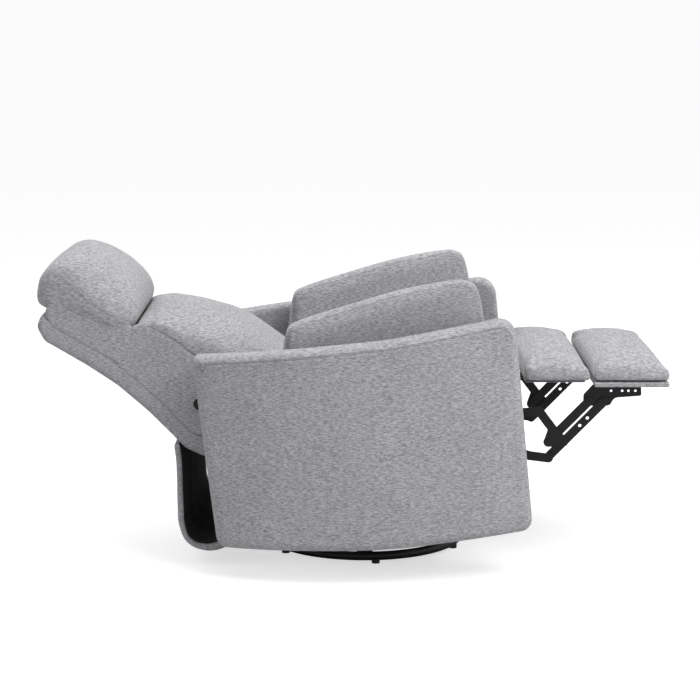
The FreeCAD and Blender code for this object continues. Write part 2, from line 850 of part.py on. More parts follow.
def mid_bracket():
    """Hinge leaf under the middle board, turned up behind the pad and in to its knuckle."""
    y, z = mid_hinge
    low = foot_board_z - seat_gap
    back = mid_pad_rear + seat_gap
    half = plate_t / 2
    leaf = slab([
        (mid_pad_rear - 90, low - plate_t, 0.0),
        (mid_pad_rear - 90, low, 0.0),
        (back, low, 0.0),
        (back, z + half, 0.0),
        (y, z + half, 0.0),
        (y, z - half, 0.0),
        (back + plate_t, z - half, 0.0),
        (back + plate_t, low - plate_t, 0.0),
    ], hinge_x, hinge_x + hinge_w)
    knuckle = cyl_x(mid_hinge, hinge_knuckle_r, hinge_x, hinge_x + hinge_w)
    body = leaf.fuse(knuckle).removeSplitter()
    return body.cut(cyl_x(mid_hinge, rivet_r + fit, hinge_x - 1, hinge_x + hinge_w + 1))


def front_hinge_leaf():
    """Hinge leaf on the front rail, with its knuckle and pin."""
    y, z = mid_hinge
    x0 = hinge_x + hinge_w + strap_gap
    x1 = x0 + hinge_w
    rail = front_rail_y - seat_gap
    leaf = slab([
        (y - 3, z, 0.0),
        (y - 3, leaf_top - 2.5, 0.0),
        (rail - plate_t, leaf_top - 2.5, 0.0),
        (rail - plate_t, leaf_top - 44, 0.0),
        (rail, leaf_top - 44, 0.0),
        (rail, leaf_top, 0.0),
        (y + 3, leaf_top, 0.0),
        (y + 3, z, 0.0),
    ], x0, x1)
    knuckle = cyl_x(mid_hinge, hinge_knuckle_r, x0, x1)
    pin = cyl_x(mid_hinge, rivet_r, hinge_x - 1, x0 + 1)
    return leaf.fuse([knuckle, pin]).removeSplitter()


# Back

def back_hinge_plate():
    """Steel arm from the back hinge along the side board, with two spacers to the board."""
    path = [back_hinge, (300.0, 380.0), (400.0, 400.0)]
    arm = strap(path, 15.0, back_plate_x, plate_t, [back_hinge], hinge_pin_r + fit)
    x0 = back_plate_x - board_spacer
    spacers = [cyl_x(centre, 9.0, x0, back_plate_x + 1) for centre in ((335.0, 387.0), (396.0, 399.0))]
    return arm.fuse(spacers).removeSplitter()


core_outline = [
    (286.0, 322.0, 8.0),
    (350.0, 308.0, 10.0),
    (414.0, 332.0, 40.0),
    (486.0, 410.0, 60.0),
    (568.0, 486.0, 80.0),
    (648.0, 539.0, 60.0),
    (750.0, 603.0, 3.0),
    (742.0, 611.0, 3.0),
    (596.0, 548.0, 10.0),
    (560.0, 568.0, 8.0),
    (516.0, 577.0, 10.0),
    (455.0, 541.0, 60.0),
    (356.0, 464.0, 60.0),
    (314.0, 385.0, 40.0),
]
lining = inset(core_outline, -2 * seat_gap)     # what the covers lie on


board_out = back_plate_x - board_spacer - seat_gap


def back_side():
    return slab(core_outline, board_out - side_board_t, board_out)


def back_slats():
    """Cross boards between the side boards of the back frame."""
    half = board_out - side_board_t - seat_gap
    slats = []
    for y, z, w, t, lean in ((330.0, 344.0, 60.0, 18.0, 20.0), (450.0, 455.0, 70.0, 18.0, 42.0),
                             (560.0, 522.0, 60.0, 18.0, 40.0), (680.0, 570.0, 50.0, 12.0, 31.0)):
        board = box(-half, half, -w / 2, w / 2, -t / 2, t / 2)
        board.rotate(Vector(0, 0, 0), Vector(1, 0, 0), lean)
        board.translate(Vector(0, y, z))
        slats.append(board)
    return group(slats)


def back_shell():
    """Padded outer back, from under the headrest down to its foot."""
    outline = [
        (345.0, 262.0, 14.0),
        (390.0, 267.0, 60.0),
        (438.0, 289.0, 40.0),
        (519.0, 374.0, 100.0),
        (598.0, 443.0, 100.0),
        (674.0, 494.0, 100.0),
        (766.0, 551.0, 24.0),
        (788.0, 588.0, 18.0),
        (777.0, 622.0, 10.0),
        *reversed(lining[1:7]),
        (340.0, 290.0, 8.0),
    ]
    return cushion(outline, back_half, 8.0, 2.0, top=(0.6, -0.8))


def lumbar_cushion():
    hy, hz = back_hinge
    roll = []
    r = roll_r / math.cos(math.radians(18.0))
    for angle in (140.0, 176.0, 212.0):
        a = math.radians(angle)
        roll.append((hy + r * math.cos(a), hz + r * math.sin(a), roll_r * 0.9))
    outline = [
        (518.0, 636.0, 16.0),
        (478.0, 650.0, 40.0),
        (415.0, 640.0, 120.0),
        (337.0, 607.0, 150.0),
        (276.0, 583.0, 100.0),
        (222.0, 538.0, 80.0),
        *roll,
        (190.0, 296.0, 40.0),
        (262.0, 300.0, 30.0),
        *reversed(lining[10:14]),
        (551.0, 584.0, 8.0),
    ]
    return cushion(outline, back_half - 1.0, 12.0, 5.0, top=(-0.6, 0.8))


def headrest():
    notch_y, notch_z, _ = lining[8]
    outline = [
        (826.0, 650.0, 18.0),
        (806.0, 720.0, 50.0),
        (776.0, 758.0, 50.0),
        (722.0, 783.0, 60.0),
        (645.0, 764.0, 90.0),
        (588.0, 724.0, 90.0),
        (536.0, 684.0, 50.0),
        (523.0, 632.0, 24.0),
        (565.0, 574.0, 20.0),
        (notch_y, notch_z, 12.0),
        lining[7],
        (812.0, 637.0, 12.0),
    ]
    return cushion(outline, head_half, 14.0, 4.0, top=(-0.5, 0.866))


# Rear flap

def rear_flap():
    """Padded cloth hung in a U from the foot of the back, fixed on the rear cross bar."""
    fixed_y = rail_rear + seat_gap
    top_z = cross_z + cross_t
    path = [
        (458.0, 297.0, 0.0),
        (467.0, 250.0, 60.0),
        (467.0, 140.0, 60.0),
        (457.0, 76.0, 34.0),
        (434.0, 46.0, 30.0),
        (398.0, 42.0, 40.0),
        (fixed_y, 60.0, 16.0),
        (fixed_y, top_z, 0.0),
    ]
    room = inset([*path, (fixed_y, top_z + 100.0, 0.0), (path[0][0], top_z + 300.0, 0.0)], flap_t)
    inner = [(y, z, max(r - flap_t, 0.0)) for (y, z, _), (_, _, r) in zip(room, path)]
    inner[0] = (path[0][0] - flap_t, path[0][1] - flap_t, 0.0)
    inner[-1] = (fixed_y + flap_t, top_z, 0.0)
    return slab([*path, *reversed(inner)], -flap_half, flap_half)


def build_all():
    save("base_ring", base_ring())
    save("base_feet", base_feet())
    save("base_bars", base_bars())
    save("lower_swivel_plate", swivel_disc(lower_disc_z))
    save("swivel_balls", ball_ring())
    save("swivel_kingpin", kingpin())
    save("upper_swivel_plate", swivel_disc(upper_disc_z))
    save("glider_frame", glider_frame())
    uprights = [upright(-glide_y), upright(glide_y)]
    save("glider_uprights", both_sides(uprights))
    for name, y in (("front", -glide_y), ("rear", glide_y)):
        save("swing_links_%s" % name, both_sides([swing_link(y)]))
    low_z = link_top_z - link_length
    link_out = link_x + strap_t
    rail_out = glide_rail_x + strap_t
    top_pins = [glide_pin((y, link_top_z), upright_x, link_out, link_gap) for y in (-glide_y, glide_y)]
    low_pins = [glide_pin((y, low_z), link_x, rail_out, strap_gap) for y in (-glide_y, glide_y)]
    save("glide_top_pins", both_sides(top_pins))
    save("glide_low_pins", both_sides(low_pins))
    save("glide_rails", both_sides([glide_rail()]))
    save("cross_bar_front", cross_bar(rail_front + cross_w / 2))
    save("cross_bar_rear", cross_bar(rail_rear - cross_w / 2))
    save_pair("side_plate", side_plate())
    save("arm_mounts", both_sides([arm_mounts()]))
    save_pair("arm_panel", arm_panel())
    save("rear_flap", rear_flap())
    save("carriage_pins", both_sides([seat_pivot_pin(), back_hinge_pin()]))
    save_pair("seat_plate", seat_plate())
    save("seat_front_rail", seat_front_rail())
    save("seat_rear_rail", seat_rear_rail())
    save("seat_webbing", seat_webbing())
    save("seat_core", seat_core())
    save("seat_cushion", seat_cushion())
    save_pair("arm_pad", arm_pad())
    save("arm_pad_brackets", both_sides([arm_pad_brackets()]))
    save("front_hinge_leaves", both_sides([front_hinge_leaf()]))
    save_pair("bent_crank", bent_crank())
    save_pair("lower_link", lower_link())
    save_pair("upper_link", upper_link())
    save("rear_cranks", both_sides([rear_crank()]))
    save_pair("footrest_bracket", footrest_bracket())
    seat_out = seat_plate_x + plate_t
    seat_rivets = [rivet(crank_pivot, rivet_r, crank_x, seat_out),
                   rivet(rear_crank_pivot, rivet_r, seat_plate_x, rear_crank_x + plate_t)]
    crank_rivets = [rivet(lower_mid, rivet_r, bar_x, crank_x + plate_t),
                    rivet(upper_rear, rivet_r, bar_x, crank_x + plate_t)]
    rear_rivets = [rivet(lower_rear, rivet_r, bar_x, rear_crank_x + plate_t)]
    bracket_rivets = [rivet(upper_front, rivet_r, bracket_x, bar_x + plate_t),
                      rivet(lower_front, rivet_r, bracket_x, bar_x + plate_t)]
    for name, rivets in (("seat", seat_rivets), ("crank", crank_rivets), ("rear_crank", rear_rivets),
                         ("bracket", bracket_rivets)):
        save("%s_rivets" % name, both_sides(rivets))
    save("footrest_board", pad_board(foot_pad_front, foot_pad_rear))
    save("footrest_pad", foot_pad())
    save("middle_board", pad_board(mid_pad_front, mid_pad_rear))
    save("middle_pad", mid_pad())
    save("middle_hinge_leaves", both_sides([mid_bracket()]))
    save("back_hinge_plates", both_sides([back_hinge_plate()]))
    save_pair("back_side_board", back_side())
    save("back_slats", back_slats())
    save("back_shell", back_shell())
    save("lumbar_cushion", lumbar_cushion())
    save("headrest_cushion", headrest())


build_all()
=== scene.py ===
import math

import bpy
import bmesh
import numpy as np
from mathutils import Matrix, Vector
from mathutils.bvhtree import BVHTree
from mathutils.kdtree import KDTree

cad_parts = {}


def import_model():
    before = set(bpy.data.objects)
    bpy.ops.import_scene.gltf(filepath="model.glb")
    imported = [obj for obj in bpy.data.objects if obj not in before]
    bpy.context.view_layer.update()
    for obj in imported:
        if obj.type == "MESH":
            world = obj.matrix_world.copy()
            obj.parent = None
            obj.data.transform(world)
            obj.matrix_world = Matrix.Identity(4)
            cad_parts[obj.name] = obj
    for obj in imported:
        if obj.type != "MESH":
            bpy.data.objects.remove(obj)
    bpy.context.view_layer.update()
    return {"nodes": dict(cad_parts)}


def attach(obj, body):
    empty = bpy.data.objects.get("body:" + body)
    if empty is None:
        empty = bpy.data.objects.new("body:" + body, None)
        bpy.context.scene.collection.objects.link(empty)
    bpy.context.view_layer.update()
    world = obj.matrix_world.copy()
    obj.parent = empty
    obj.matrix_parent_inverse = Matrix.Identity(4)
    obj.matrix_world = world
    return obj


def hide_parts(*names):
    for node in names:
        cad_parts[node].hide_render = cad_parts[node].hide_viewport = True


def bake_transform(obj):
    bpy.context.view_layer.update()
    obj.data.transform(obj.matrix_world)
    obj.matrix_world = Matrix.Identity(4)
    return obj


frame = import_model()
nodes = frame["nodes"]
scene = bpy.context.scene

# Sizes are in millimetres here, and become metres where a mesh is made.
MM = 0.001
UP = (0.0, 1.0)          # upwards in the side view, as (y, z)
LEFT, RIGHT = 1, -1
SIDE_NAME = {LEFT: "left", RIGHT: "right"}


# Outlines in the side view, as (y, z, corner radius)

ARC_STEPS = 8
EDGE_STEPS = 6
CROWN_SHARES = (0.8, 0.5, 0.25, 0.0)
MITRE_LIMIT = 0.3
LEAST_CORNER = 3.0


def inset(corners, depth):
    """The outline moved inwards by depth, or outwards where depth is negative."""
    n = len(corners)
    area = sum(corners[i - 1][0] * corners[i][1] - corners[i][0] * corners[i - 1][1] for i in range(n))
    side = 1.0 if area > 0 else -1.0
    moved = []
    for i in range(n):
        y, z, r = corners[i]
        y0, z0, _ = corners[i - 1]
        y1, z1, _ = corners[(i + 1) % n]
        a = Vector((y - y0, z - z0)).normalized()
        b = Vector((y1 - y, z1 - z)).normalized()
        na = Vector((-a.y, a.x)) * side
        nb = Vector((-b.y, b.x)) * side
        m = (na + nb).normalized()
        k = depth / max(m.dot(na), MITRE_LIMIT)
        moved.append((y + m.x * k, z + m.y * k, max(r - depth, LEAST_CORNER)))
    return moved


def crowned(corners, rise, top):
    """The outline raised by up to rise where it faces the direction top."""
    raised = []
    for corner, out in zip(corners, inset(corners, -rise)):
        lift = max((out[0] - corner[0]) * top[0] + (out[1] - corner[1]) * top[1], 0.0)
        raised.append((corner[0] + top[0] * lift, corner[1] + top[1] * lift, corner[2]))
    return raised


def outline_points(corners, run_steps=10):
    """Points round the outline, the same number for every depth of inset."""
    n = len(corners)
    marks = []
    for i in range(n):
        p = Vector(corners[i][:2])
        a = (Vector(corners[i - 1][:2]) - p).normalized()
        b = (Vector(corners[(i + 1) % n][:2]) - p).normalized()
        r = max(corners[i][2], 0.01)
        half = max(a.angle(b) / 2, 0.05)
        bisector = (a + b).normalized()
        reach = r / math.tan(half)
        centre = p + bisector * (r / math.sin(half))
        start = p + a * reach
        end = p + b * reach
        marks.append((start, centre, end))
    points = []
    for i in range(n):
        start, centre, end = marks[i]
        u = start - centre
        w = end - centre
        turn = u.angle_signed(w) if u.length > 1e-6 and w.length > 1e-6 else 0.0
        for k in range(ARC_STEPS + 1):
            t = -turn * k / ARC_STEPS
            c, s = math.cos(t), math.sin(t)
            points.append(centre + Vector((u.x * c - u.y * s, u.x * s + u.y * c)))
        follow = marks[(i + 1) % n][0]
        for k in range(1, run_steps):
            points.append(end.lerp(follow, k / run_steps))
    return points


def rounded(degrees, radius):
    """A rounded edge after turning by degrees: (distance from the side face, distance from the rim)."""
    a = math.radians(degrees)
    return radius * (1 - math.cos(a)), radius * (1 - math.sin(a))


def pad_sections(corners, half, edge, crown, top):
    """Sections of a pad that is 2 * half wide, with rounded edges and a crown towards top."""
    sections = []
    for k in range(EDGE_STEPS + 1):
        from_face, from_rim = rounded(90 * k / EDGE_STEPS, edge)
        sections.append((half - from_face, inset(corners, from_rim)))
    for share in CROWN_SHARES:
        sections.append((half * share, crowned(corners, crown * (1 - share * share), top)))
    sections += [(-x, outline) for x, outline in reversed(sections[:-1])]
    return [(x, outline_points(outline)) for x, outline in reversed(sections)]


# Meshes

def new_object(name, verts, faces, smooth=True):
    mesh = bpy.data.meshes.new(name)
    mesh.from_pydata([tuple(v) for v in verts], [], faces)
    mesh.update()
    obj = bpy.data.objects.new(name, mesh)
    scene.collection.objects.link(obj)
    if smooth:
        mesh.polygons.foreach_set("use_smooth", [True] * len(mesh.polygons))
    return obj


def ring_faces(rings, count, base=0):
    """Faces between rings of count points that follow each other from point base on."""
    faces = []
    for s in range(rings - 1):
        near = base + s * count
        far = near + count
        for i in range(count):
            j = (i + 1) % count
            faces.append((near + i, near + j, far + j, far + i))
    return faces


def mend(obj, merge=None):
    """Joins points closer than merge, where it is given in metres, and turns all faces outwards."""
    mesh = bmesh.new()
    mesh.from_mesh(obj.data)
    if merge is not None:
        bmesh.ops.remove_doubles(mesh, verts=mesh.verts, dist=merge)
    bmesh.ops.recalc_face_normals(mesh, faces=mesh.faces)
    mesh.to_mesh(obj.data)
    mesh.free()


def tube_of_sections(name, sections, shift=0.0):
    """Closed skin through outlines at growing x. Each section is (x, points in the side view)."""
    verts = []
    for x, points in sections:
        verts += [((x + shift) * MM, p.x * MM, p.y * MM) for p in points]
    n = len(sections[0][1])
    faces = ring_faces(len(sections), n)
    faces.append(tuple(range(n - 1, -1, -1)))
    last = (len(sections) - 1) * n
    faces.append(tuple(range(last, last + n)))
    obj = new_object(name, verts, faces)
    mend(obj, 0.0002)
    return obj


def bake(obj):
    """The mesh as its modifiers leave it, with the modifiers gone."""
    depsgraph = bpy.context.evaluated_depsgraph_get()
    mesh = bpy.data.meshes.new_from_object(obj.evaluated_get(depsgraph))
    old = obj.data
    obj.modifiers.clear()
    obj.data = mesh
    bpy.data.meshes.remove(old)
    mesh.name = obj.name
    mesh.polygons.foreach_set("use_smooth", [True] * len(mesh.polygons))


def point_values(mesh, key):
    values = np.zeros(len(mesh.vertices) * 3, np.float64)
    mesh.vertices.foreach_get(key, values)
    return values.reshape(-1, 3)


def set_coords(obj, co):
    obj.data.vertices.foreach_set("co", co.astype(np.float32).ravel())
    obj.data.update()


def remesh(obj, voxel):
    mod = obj.modifiers.new("voxel", "REMESH")
    mod.mode = "VOXEL"
    mod.voxel_size = voxel * MM
    mod.adaptivity = 0.0
    bake(obj)


def subdivide(obj):
    mod = obj.modifiers.new("subdivide", "SUBSURF")
    mod.levels = 1
    mod.render_levels = 1
    bake(obj)


def relax(obj, times):
    mod = obj.modifiers.new("relax", "SMOOTH")
    mod.factor = 0.5
    mod.iterations = times
    bake(obj)


# Cloth over stuffing

STRETCH = 15.0


def simulated(obj, keep, pressure, frames):
    """Points of the pad after the cloth simulation, with the points of keep held."""
    group = obj.vertex_groups.new(name="held")
    for i, w in enumerate(keep):
        if w > 0.01:
            group.add([i], float(w), "REPLACE")
    mod = obj.modifiers.new("cloth", "CLOTH")
    cloth = mod.settings
    cloth.quality = 6
    cloth.mass = 0.3
    cloth.tension_stiffness = STRETCH
    cloth.compression_stiffness = STRETCH
    cloth.shear_stiffness = 5.0
    cloth.bending_stiffness = 0.8
    cloth.air_damping = 1.0
    cloth.use_pressure = True
    cloth.uniform_pressure_force = pressure
    cloth.shrink_min = 0.0
    cloth.effector_weights.gravity = 0.0
    cloth.vertex_group_mass = "held"
    cloth.pin_stiffness = 1.0
    mod.point_cache.frame_start = 1
    mod.point_cache.frame_end = frames
    for f in range(1, frames + 1):
        scene.frame_set(f)
        bpy.context.view_layer.update()
    moved = point_values(obj.evaluated_get(bpy.context.evaluated_depsgraph_get()).data, "co")
    obj.modifiers.clear()
    scene.frame_set(1)
    return moved


def puff(obj, voxel, pressure, cap, held, frames=20):
    """Swells a pad like stuffed cloth, by cap at most.

    held(co, no) gives how firmly each point is kept in place, 0 to 1.
    """
    remesh(obj, voxel)
    start = point_values(obj.data, "co")
    no = point_values(obj.data, "normal")
    keep = np.clip(held(start, no), 0, 1)
    moved = simulated(obj, keep, pressure, frames)
    step = moved - start
    length = np.linalg.norm(step, axis=1)
    limit = cap * MM
    scale = np.where(length > 1e-9, limit * np.tanh(length / limit) / np.maximum(length, 1e-9), 0)
    set_coords(obj, start + step * (scale * (1 - keep))[:, None])
    relax(obj, 2)


def smooth_step(x, low, high):
    t = np.clip((x - low) / (high - low), 0, 1)
    return t * t * (3 - 2 * t)


def beside(corners, reach):
    """Holds the points near an outline: fully within 4 mm of it, and not at all beyond reach."""
    pts = np.array([tuple(p) for p in outline_points(corners)]) * MM
    at_once = 40

    def held(co, no):
        d = np.full(len(co), np.inf)
        for first in range(0, len(pts), at_once):
            part = pts[first:first + at_once]
            gap = np.linalg.norm(co[:, None, 1:] - part[None], axis=2).min(1)
            d = np.minimum(d, gap)
        return 1 - smooth_step(d, 4.0 * MM, reach * MM)
    return held


def underside(co, no):
    """Holds the points that face down, so that a pad stays flat where it rests."""
    return np.where(no[:, 2] < -0.7, 1.0, 0.0)


# Seams and stitches

PATH_SPACING = 2.5
STITCH_PITCH = 6.0
STITCH_LENGTH = 4.2
STITCH_R = 0.55
STITCH_LIFT = 0.35
STITCH_OFFSET = 4.5      # from the seam
STITCH_SIDES = 6
# Place along a stitch, and its radius and drop there, as shares of its length and radius
STITCH_FORM = ((-0.5, 0.35, 0.5), (-0.3, 0.9, 0.0), (0.0, 1.0, -0.1), (0.3, 0.9, 0.0), (0.5, 0.35, 0.5))


def path_on(obj, points, closed=False):
    """The path divided evenly and laid onto the surface: (point, normal) pairs, in metres."""
    tree = BVHTree.FromObject(obj, bpy.context.evaluated_depsgraph_get())
    pts = [Vector(p) for p in points]
    if closed:
        pts.append(pts[0])
    dense = [pts[0]]
    for a, b in zip(pts, pts[1:]):
        steps = max(1, int((b - a).length / (PATH_SPACING * MM)))
        dense += [a.lerp(b, (k + 1) / steps) for k in range(steps)]
    return [tree.find_nearest(p)[:2] for p in dense]


def groove(obj, path, width, depth, lip):
    """Presses a seam into the skin along a path: a rounded valley with a soft lip on both sides."""
    tree = KDTree(len(path))
    for i, (p, _) in enumerate(path):
        tree.insert(p, i)
    tree.balance()
    co = point_values(obj.data, "co")
    no = point_values(obj.data, "normal")
    w = width * MM
    reach = w * 3
    points = np.array([tuple(p) for p, _ in path])
    low = points.min(0) - reach
    high = points.max(0) + reach
    near = np.where(((co > low) & (co < high)).all(1))[0]
    for i in near:
        d = tree.find(co[i])[2]
        if d > reach:
            continue
        valley = depth * math.exp(-(d / w) ** 2)
        ridge = lip * math.exp(-((d - 1.8 * w) / (0.7 * w)) ** 2)
        co[i] -= no[i] * (valley - ridge) * MM
    set_coords(obj, co)


def edge_line(corners, half, edge, share, side):
    """Seam line on the rounded edge of a pad, on one side: share is 0 at the side face and 1 at the rim."""
    from_face, from_rim = rounded(90 * share, edge)
    x = side * (half - from_face)
    return [(x * MM, p.x * MM, p.y * MM) for p in outline_points(inset(corners, from_rim))]


def thread(name, path, offset):
    """Row of sewn stitches beside a path, each a small capsule lying in the cloth."""
    verts = []
    faces = []
    last = path[0][0]
    since = STITCH_PITCH * MM
    for i in range(1, len(path) - 1):
        p, n = path[i]
        since += (p - last).length
        last = p
        if since < STITCH_PITCH * MM:
            continue
        since = 0.0
        along = (path[i + 1][0] - path[i - 1][0])
        if along.length < 1e-7:
            continue
        along.normalize()
        side = n.cross(along).normalized()
        up = along.cross(side).normalized() * (1 if along.cross(side).dot(n) > 0 else -1)
        centre = p + side * offset * MM + n * STITCH_LIFT * MM
        base = len(verts)
        for t, r, drop in STITCH_FORM:
            mid = centre + along * t * STITCH_LENGTH * MM - up * drop * STITCH_R * MM
            for k in range(STITCH_SIDES):
                a = 2 * math.pi * k / STITCH_SIDES
                verts.append(mid + (side * math.cos(a) + up * math.sin(a)) * r * STITCH_R * MM)
        faces += ring_faces(len(STITCH_FORM), STITCH_SIDES, base)
        last_ring = base + (len(STITCH_FORM) - 1) * STITCH_SIDES
        faces.append(tuple(base + k for k in range(STITCH_SIDES - 1, -1, -1)))
        faces.append(tuple(last_ring + k for k in range(STITCH_SIDES)))
    return new_object(name, verts, faces)


# Materials. The scale of a noise is in cells per metre along x, y and z.

def node_tree(name):
    mat = bpy.data.materials.new(name)
    mat.use_nodes = True
    tree = mat.node_tree
    tree.nodes.clear()
    out = tree.nodes.new("ShaderNodeOutputMaterial")
    shader = tree.nodes.new("ShaderNodeBsdfPrincipled")
    tree.links.new(shader.outputs["BSDF"], out.inputs["Surface"])
    return mat, tree, shader


def maths(tree, op, a, b=None):
    node = tree.nodes.new("ShaderNodeMath")
    node.operation = op
    for i, v in enumerate((a, b)):
        if v is None:
            continue
        if isinstance(v, (int, float)):
            node.inputs[i].default_value = v
        else:
            tree.links.new(v, node.inputs[i])
    return node.outputs[0]


def weighted(tree, *parts):
    """Sum of the values, each times its share."""
    total = None
    for value, share in parts:
        part = maths(tree, "MULTIPLY", value, share)
        total = part if total is None else maths(tree, "ADD", total, part)
    return total


def noise(tree, scale, detail, rough):
    coord = tree.nodes.new("ShaderNodeTexCoord")
    mapping = tree.nodes.new("ShaderNodeMapping")
    mapping.inputs["Scale"].default_value = scale
    tree.links.new(coord.outputs["Object"], mapping.inputs["Vector"])
    node = tree.nodes.new("ShaderNodeTexNoise")
    node.inputs["Scale"].default_value = 1.0
    node.inputs["Detail"].default_value = detail
    node.inputs["Roughness"].default_value = rough
    tree.links.new(mapping.outputs[0], node.inputs["Vector"])
    return node.outputs["Fac"]


def ramp(tree, value, stops):
    node = tree.nodes.new("ShaderNodeValToRGB")
    tree.links.new(value, node.inputs[0])
    band = node.color_ramp
    while len(band.elements) < len(stops):
        band.elements.new(0.5)
    for element, (place, colour) in zip(band.elements, stops):
        element.position = place
        element.color = (*colour, 1.0)
    return node.outputs[0]


def blend_colour(tree, factor, a, b, kind="MIX"):
    node = tree.nodes.new("ShaderNodeMix")
    node.data_type = "RGBA"
    node.blend_type = kind
    for socket, v in ((node.inputs[0], factor), (node.inputs[6], a), (node.inputs[7], b)):
        if isinstance(v, (int, float)):
            socket.default_value = v
        elif isinstance(v, tuple):
            socket.default_value = (*v, 1.0)
        else:
            tree.links.new(v, socket)
    return node.outputs[2]


def bump(tree, height, strength, distance, below=None):
    node = tree.nodes.new("ShaderNodeBump")
    node.inputs["Strength"].default_value = strength
    node.inputs["Distance"].default_value = distance
    tree.links.new(height, node.inputs["Height"])
    if below is not None:
        tree.links.new(below, node.inputs["Normal"])
    return node.outputs[0]


def weave_height(tree, pitch):
    """Plain weave on whichever plane the surface faces, blended by the normal."""
    coord = tree.nodes.new("ShaderNodeTexCoord")
    split = tree.nodes.new("ShaderNodeSeparateXYZ")
    tree.links.new(coord.outputs["Object"], split.inputs[0])
    turn = tree.nodes.new("ShaderNodeSeparateXYZ")
    tree.links.new(coord.outputs["Normal"], turn.inputs[0])
    k = 2 * math.pi / (pitch * MM)
    waves = [maths(tree, "SINE", maths(tree, "MULTIPLY", split.outputs[i], k)) for i in range(3)]
    weights = [maths(tree, "POWER", maths(tree, "ABSOLUTE", turn.outputs[i]), 6.0) for i in range(3)]
    total = maths(tree, "ADD", maths(tree, "ADD", weights[0], weights[1]), weights[2])
    layers = []
    for i, (a, b) in enumerate([(1, 2), (0, 2), (0, 1)]):
        cross = maths(tree, "MULTIPLY", waves[a], waves[b])
        layers.append(maths(tree, "MULTIPLY", cross, maths(tree, "DIVIDE", weights[i], total)))
    return maths(tree, "ADD", maths(tree, "ADD", layers[0], layers[1]), layers[2])


def fabric(name, dark, light, pitch=2.6, sheen=0.25):
    """Heather yarn: dark and light threads, slubs both ways, soft nap and a plain weave."""
    mat, tree, shader = node_tree(name)
    upright = noise(tree, (650, 650, 150), 2.0, 0.6)
    level = noise(tree, (95, 95, 560), 2.0, 0.6)
    fleck = noise(tree, (560, 560, 560), 3.0, 0.7)
    cloud = noise(tree, (7, 7, 7), 3.0, 0.55)
    weave = weave_height(tree, pitch)
    mixed = weighted(tree, (upright, 0.22), (level, 0.56), (fleck, 0.22), (weave, 0.05))
    middle = tuple((d + l) / 2 for d, l in zip(dark, light))
    colour = ramp(tree, mixed, [(0.40, dark), (0.50, middle), (0.60, light)])
    shade = ramp(tree, cloud, [(0.30, (0.91, 0.91, 0.915)), (0.70, (1.0, 1.0, 1.0))])
    colour = blend_colour(tree, 1.0, colour, shade, "MULTIPLY")
    tree.links.new(colour, shader.inputs["Base Color"])
    shader.inputs["Roughness"].default_value = 0.92
    shader.inputs["Specular IOR Level"].default_value = 0.2
    shader.inputs["Sheen Weight"].default_value = sheen
    shader.inputs["Sheen Roughness"].default_value = 0.45
    fine = bump(tree, weighted(tree, (weave, 0.5), (mixed, 1.2)), 0.55, 0.0007)
    soft = noise(tree, (28, 28, 28), 2.0, 0.5)
    tree.links.new(bump(tree, soft, 0.25, 0.004, fine), shader.inputs["Normal"])
    return mat


def painted(name, colour, rough, metallic=0.0, wear=0.5):
    """Paint or plating on steel, with patches of gloss, a fine orange peel and rubbed spots."""
    mat, tree, shader = node_tree(name)
    patch = noise(tree, (35, 35, 35), 4.0, 0.6)
    grain = noise(tree, (1400, 1400, 1400), 2.0, 0.5)
    scuff = noise(tree, (90, 260, 260), 5.0, 0.75)
    lighter = tuple(min(1.0, c * 2.0 + 0.01) for c in colour)
    base = ramp(tree, patch, [(0.35, colour), (0.75, tuple(c * 1.25 for c in colour))])
    rub = maths(tree, "MULTIPLY", ramp(tree, scuff, [(0.62, (0, 0, 0)), (0.76, (1, 1, 1))]), wear)
    tree.links.new(blend_colour(tree, rub, base, lighter), shader.inputs["Base Color"])
    shader.inputs["Metallic"].default_value = metallic
    shader.inputs["Specular IOR Level"].default_value = 0.5 if metallic else 0.3
    gloss = maths(tree, "ADD", maths(tree, "MULTIPLY", patch, 0.22), rough - 0.1)
    tree.links.new(gloss, shader.inputs["Roughness"])
    tree.links.new(bump(tree, grain, 0.12, 0.0002), shader.inputs["Normal"])
    return mat


def plywood(name):
    mat, tree, shader = node_tree(name)
    ring = noise(tree, (3, 40, 40), 4.0, 0.6)
    pore = noise(tree, (30, 900, 900), 3.0, 0.6)
    stops = [(0.35, (0.33, 0.20, 0.10)), (0.55, (0.52, 0.36, 0.20)), (0.7, (0.62, 0.46, 0.28))]
    colour = ramp(tree, weighted(tree, (ring, 0.75), (pore, 0.25)), stops)
    tree.links.new(colour, shader.inputs["Base Color"])
    shader.inputs["Roughness"].default_value = 0.7
    tree.links.new(bump(tree, pore, 0.2, 0.0004), shader.inputs["Normal"])
    return mat


def foam(name):
    mat, tree, shader = node_tree(name)
    cell = noise(tree, (700, 700, 700), 3.0, 0.7)
    colour = ramp(tree, cell, [(0.35, (0.52, 0.49, 0.38)), (0.65, (0.72, 0.69, 0.58))])
    tree.links.new(colour, shader.inputs["Base Color"])
    shader.inputs["Roughness"].default_value = 0.95
    tree.links.new(bump(tree, cell, 0.6, 0.001), shader.inputs["Normal"])
    return mat


